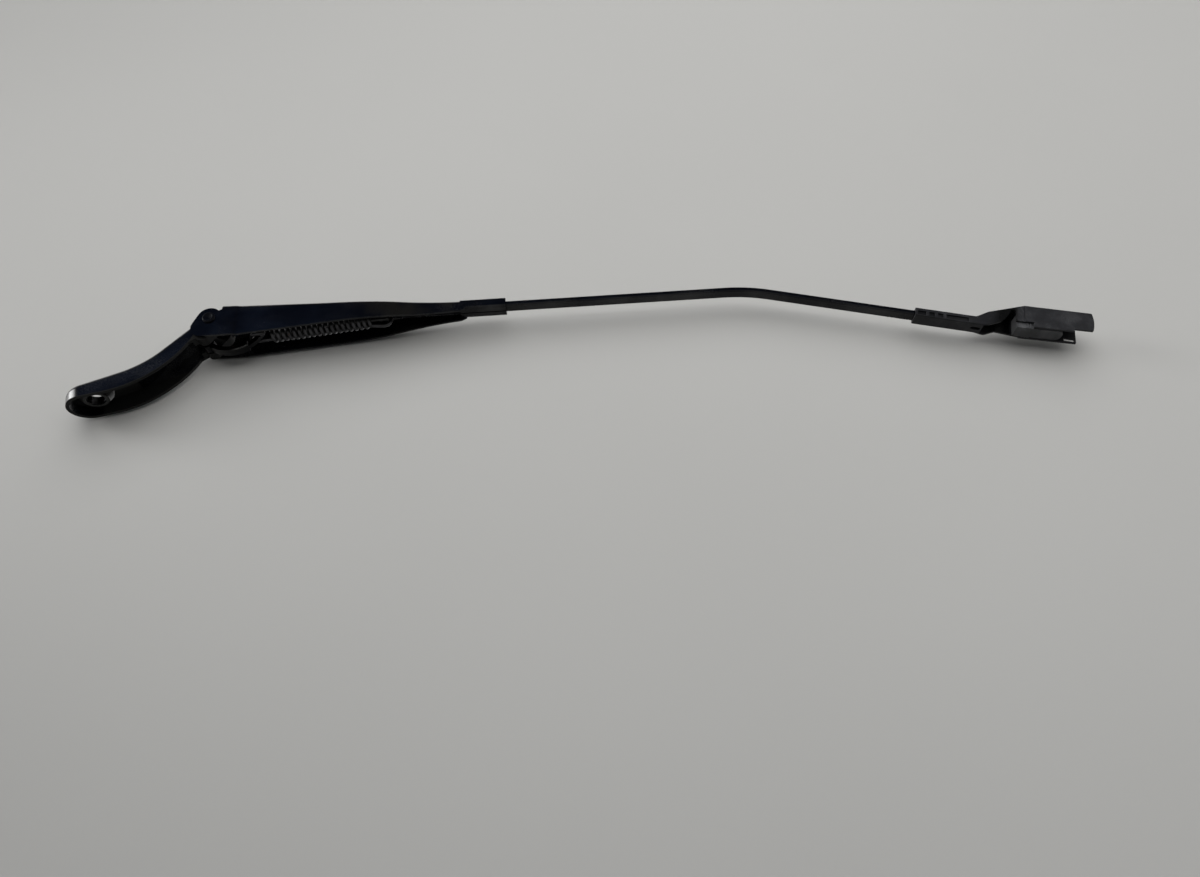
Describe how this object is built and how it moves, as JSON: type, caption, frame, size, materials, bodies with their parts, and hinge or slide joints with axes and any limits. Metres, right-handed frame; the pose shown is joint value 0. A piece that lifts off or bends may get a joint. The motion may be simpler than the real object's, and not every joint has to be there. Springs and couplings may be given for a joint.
{
  "type": "windscreen wiper arm",
  "caption": "Windscreen wiper arm with a cast spindle head, a hinged folded channel over a tension spring, a bent flat bar and a hooded blade holder.",
  "frame": {"origin": "on the spindle axis at the face of the spindle boss", "axes": "+Z along the spindle away from the car body, +X towards the blade end, +Y along the hinge axis"},
  "size_m": [0.629, 0.0288, 0.1596],
  "materials": {
    "head_paint": "glossy blue-black paint, bare metal on the boss face",
    "channel_paint": "glossy blue-black paint, worn thin on the cut edges",
    "rod_paint": "satin blue-black paint",
    "rivet_paint": "painted over after riveting",
    "hook_steel": "dark blackened steel",
    "spring_steel": "dark oiled spring wire",
    "pin_steel": "plain turned steel",
    "bush_plastic": "black bearing plastic",
    "holder_plastic": "weathered dark grey plastic",
    "adapter_plastic": "dusty grey plastic"
  },
  "bodies": {
    "head": {"arm_head": "head_paint", "hinge_bush_near": "bush_plastic", "hinge_bush_far": "bush_plastic", "spring_pin": "pin_steel"},
    "arm": {"channel": "channel_paint", "hinge_pin": "rivet_paint", "rod": "rod_paint", "blade_holder": "holder_plastic", "blade_adapter": "adapter_plastic", "adapter_pin": "pin_steel"},
    "link": {"spring_hook": "hook_steel"},
    "spring": {"tension_spring": "spring_steel"}
  },
  "joints": [
    {"name": "arm_hinge", "type": "hinge", "parent": "head", "child": "arm", "pos_m": [0.0746, 0, 0.0343], "axis": [0, -1, 0], "range_deg": [0, 80], "stiffness_Nm_per_rad": 1, "springref_deg": -114.59, "deforming": ["tension_spring"]},
    {"name": "link_swing", "type": "hinge", "parent": "head", "child": "link", "pos_m": [0.069, 0, 0.0243], "axis": [0, -1, 0], "range_deg": [0, 74]},
    {"name": "spring_swing", "type": "hinge", "parent": "arm", "child": "spring", "pos_m": [0.18423, 0, 0.01451], "axis": [0, -1, 0], "range_deg": [-6.5, 0]}
  ],
  "couplings": [
    {"joint": "link_swing", "follows": "arm_hinge", "ratio": 0.92},
    {"joint": "spring_swing", "follows": "arm_hinge", "ratio": -0.08}
  ]
}
